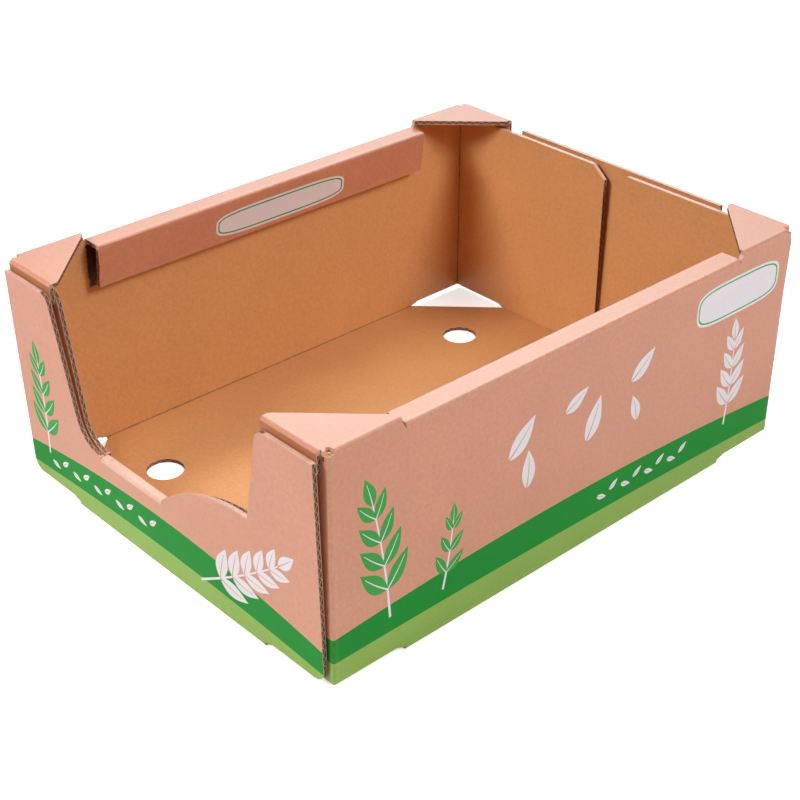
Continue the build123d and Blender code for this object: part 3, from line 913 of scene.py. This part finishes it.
# Lamps: watts, width, place, what they look at, whether they light and show in reflections, and spread in degrees.
lampLook = {
    "leftLamp": (37.0, 0.8, (-0.50, -1.78, 1.60), (0, 0, 0.08), True, True, 180),
    "rightLamp": (31.0, 0.8, (1.70, 0.62, 1.66), (0, 0, 0.08), True, True, 180),
    "backCard": (37.0, 1.8, (-1.08, 1.10, 1.60), (0, 0, 0.12), False, True, 180),
    "backFill": (14.0, 1.0, (-1.60, 1.60, 0.30), (0, 0, 0.08), True, False, 180),
    "frontPool": (0.07, 0.2, (-0.02, -0.34, 1.20), (-0.02, -0.15, 0), True, False, 20),
}


def seenRays(tree):
    # 1 for a ray that the camera sends straight out, off gloss or through glass, else 0: the largest of the three.
    ray = tree.nodes.new("ShaderNodeLightPath").outputs
    either = addNode(tree, "Math", 0, {0: ray["Is Camera Ray"], 1: ray["Is Glossy Ray"]}, operation="MAXIMUM")
    return addNode(tree, "Math", 0, {0: either, 1: ray["Is Transmission Ray"]}, operation="MAXIMUM")


def makeFloorStage():
    # A wide pale floor that still takes the shadow; the camera sees it lifted towards white, more so far away.
    # Lift = straight line from glow at near to farGlow at far, over the distance from the middle.
    look, size = stageLook, stageLook["reach"]
    corners = [(-size, -size, 0), (size, -size, 0), (size, size, 0), (-size, size, 0)]
    mesh = bpy.data.meshes.new("floor")
    mesh.from_pydata(corners, [], [(0, 1, 2, 3)])
    floor = bpy.data.objects.new("floor", mesh)
    floor.location.z = -look["drop"]
    bpy.context.scene.collection.objects.link(floor)
    mat = bpy.data.materials.new("paleFloor")
    mat.use_nodes = True
    tree = mat.node_tree
    tree.nodes.clear()
    lit = addNode(tree, "BsdfDiffuse", 0, {"Color": (look["floorTone"],) * 3 + (1,)})
    distance = addNode(tree, "VectorMath", "Value", {0: addNode(tree, "TexCoord", "Object")}, operation="LENGTH")
    lift = spreadNode(tree, distance, (look["near"], look["far"]), look["glow"], look["farGlow"])
    level = addNode(tree, "Math", 0, {0: seenRays(tree), 1: lift}, operation="MULTIPLY")
    glow = addNode(tree, "Emission", 0, {"Strength": level})
    out = tree.nodes.new("ShaderNodeOutputMaterial")
    tree.links.new(addNode(tree, "AddShader", 0, {0: lit, 1: glow}), out.inputs["Surface"])
    mesh.materials.append(mat)


def makeSky():
    # The sky lights softly and is white to the camera and in reflections.
    world = bpy.data.worlds.new("studio")
    bpy.context.scene.world = world
    world.use_nodes = True
    tree = world.node_tree
    sky = tree.nodes["Background"]
    sky.inputs["Color"].default_value = (1, 1, 1, 1)
    level = addNode(tree, "Mix", "Result", {"Factor": seenRays(tree), "A": stageLook["sky"], "B": 1.0})
    tree.links.new(level, sky.inputs["Strength"])


def aimed(obj, spot, aim):
    # Stands at the spot and looks along the line from there to the aim.
    obj.location = spot
    obj.rotation_mode = "QUATERNION"
    obj.rotation_quaternion = (Vector(aim) - Vector(spot)).to_track_quat("-Z", "Y")
    bpy.context.scene.collection.objects.link(obj)


def softLamp(name, power, size, spot, aim, lights, shines, spread):
    # A round area lamp that the camera doesn't see.
    lamp = bpy.data.lights.new(name, "AREA")
    lamp.shape = "DISK"
    lamp.size = size
    lamp.energy = power
    lamp.spread = radians(spread)
    obj = bpy.data.objects.new(name, lamp)
    obj.visible_camera = False
    obj.visible_diffuse = lights
    obj.visible_glossy = shines
    aimed(obj, spot, aim)


# Lens and sensor in millimetres, places in metres.
cameraLook = {
    "lens": 72.0, "sensor": 36.0, "clipStart": 0.01,
    "eye": (0.66041, -0.61381, 0.58500), "target": (0.00369, -0.01025, 0.04580),
}


def makeCamera():
    # Stands where the photographer stood, without shift or depth of field.
    data = bpy.data.cameras.new("camera")
    data.lens = cameraLook["lens"]
    data.sensor_width = cameraLook["sensor"]
    data.clip_start = cameraLook["clipStart"]
    obj = bpy.data.objects.new("camera", data)
    aimed(obj, cameraLook["eye"], cameraLook["target"])
    bpy.context.scene.camera = obj


makeFloorStage()
makeSky()
for name, look in lampLook.items():
    softLamp(name, *look)
makeCamera()
bpy.context.scene.view_settings.view_transform = "Standard"

print("scene ready")
